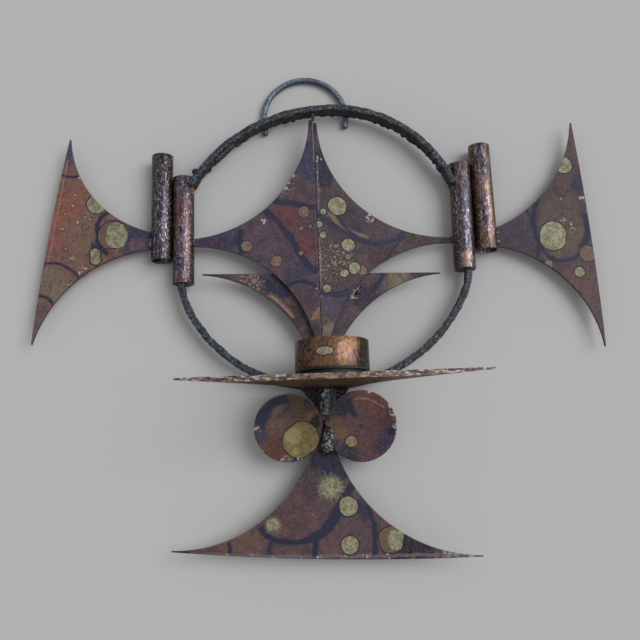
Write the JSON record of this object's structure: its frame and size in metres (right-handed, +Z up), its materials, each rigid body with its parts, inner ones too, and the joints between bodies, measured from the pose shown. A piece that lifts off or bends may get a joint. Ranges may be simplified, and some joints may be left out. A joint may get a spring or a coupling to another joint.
{
  "type": "candle wall sconce",
  "caption": "Wall sconce that holds a pillar candle in a cup in front of a steel ring with a folded star, fishtail wings and pipe stubs in flame-coloured copper.",
  "frame": {"origin": "the point on the wall behind the inside top of the hanger loop, where the wall hook carries the sconce", "axes": "+X to the right as seen from the front, +Z up, -Y out of the wall towards the viewer; the wall is the plane Y = 0"},
  "size_m": [0.5791, 0.105, 0.5055],
  "materials": {
    "patina_copper": "flame-coloured copper plate, brown and purple with dark veins and pale round spots, half gloss",
    "pan_copper": "dark brown copper plate with a pale tinned front edge",
    "pipe_copper": "mottled copper pipe, half gloss",
    "cup_copper": "brown copper, glossy",
    "dark_copper": "blackened copper",
    "black_steel": "fire-scaled steel, blue-grey and rough",
    "dark_weld": "lumpy dark weld",
    "solder": "grey solder, dull to shiny"
  },
  "bodies": {
    "root": {"left_wing": "patina_copper", "right_wing": "patina_copper", "star_left_half": "patina_copper", "star_right_half": "patina_copper", "rear_fin": "patina_copper", "bottom_fin": "patina_copper", "left_lobe": "patina_copper", "right_lobe": "patina_copper", "drip_pan": "pan_copper", "left_inner_tube": "pipe_copper", "left_outer_tube": "pipe_copper", "right_inner_tube": "pipe_copper", "right_outer_tube": "pipe_copper", "candle_cup": "cup_copper", "cup_floor": "cup_copper", "cup_foot": "dark_copper", "hanger_loop": "black_steel", "ring_upper_bar": "black_steel", "ring_splice_bar": "black_steel", "ring_lower_bar": "black_steel", "hanger_weld_left": "dark_weld", "hanger_weld_right": "dark_weld", "ring_splice_weld": "dark_weld", "ring_weld_left": "dark_weld", "ring_weld_right": "dark_weld", "bore_weld_left": "dark_weld", "bore_weld_right": "dark_weld", "star_top_weld": "dark_weld", "fin_tab_left": "dark_weld", "fin_tab_right": "dark_weld", "rear_fin_foot_weld": "dark_weld", "tube_braze_left": "solder", "tube_braze_right": "solder", "wing_braze_left": "solder", "wing_braze_right": "solder", "star_left_braze": "solder", "star_right_braze": "solder", "star_seam_braze": "solder", "star_foot_braze": "solder", "pan_neck_weld": "solder", "upper_bead": "solder", "lower_bead": "solder"}
  },
  "joints": []
}
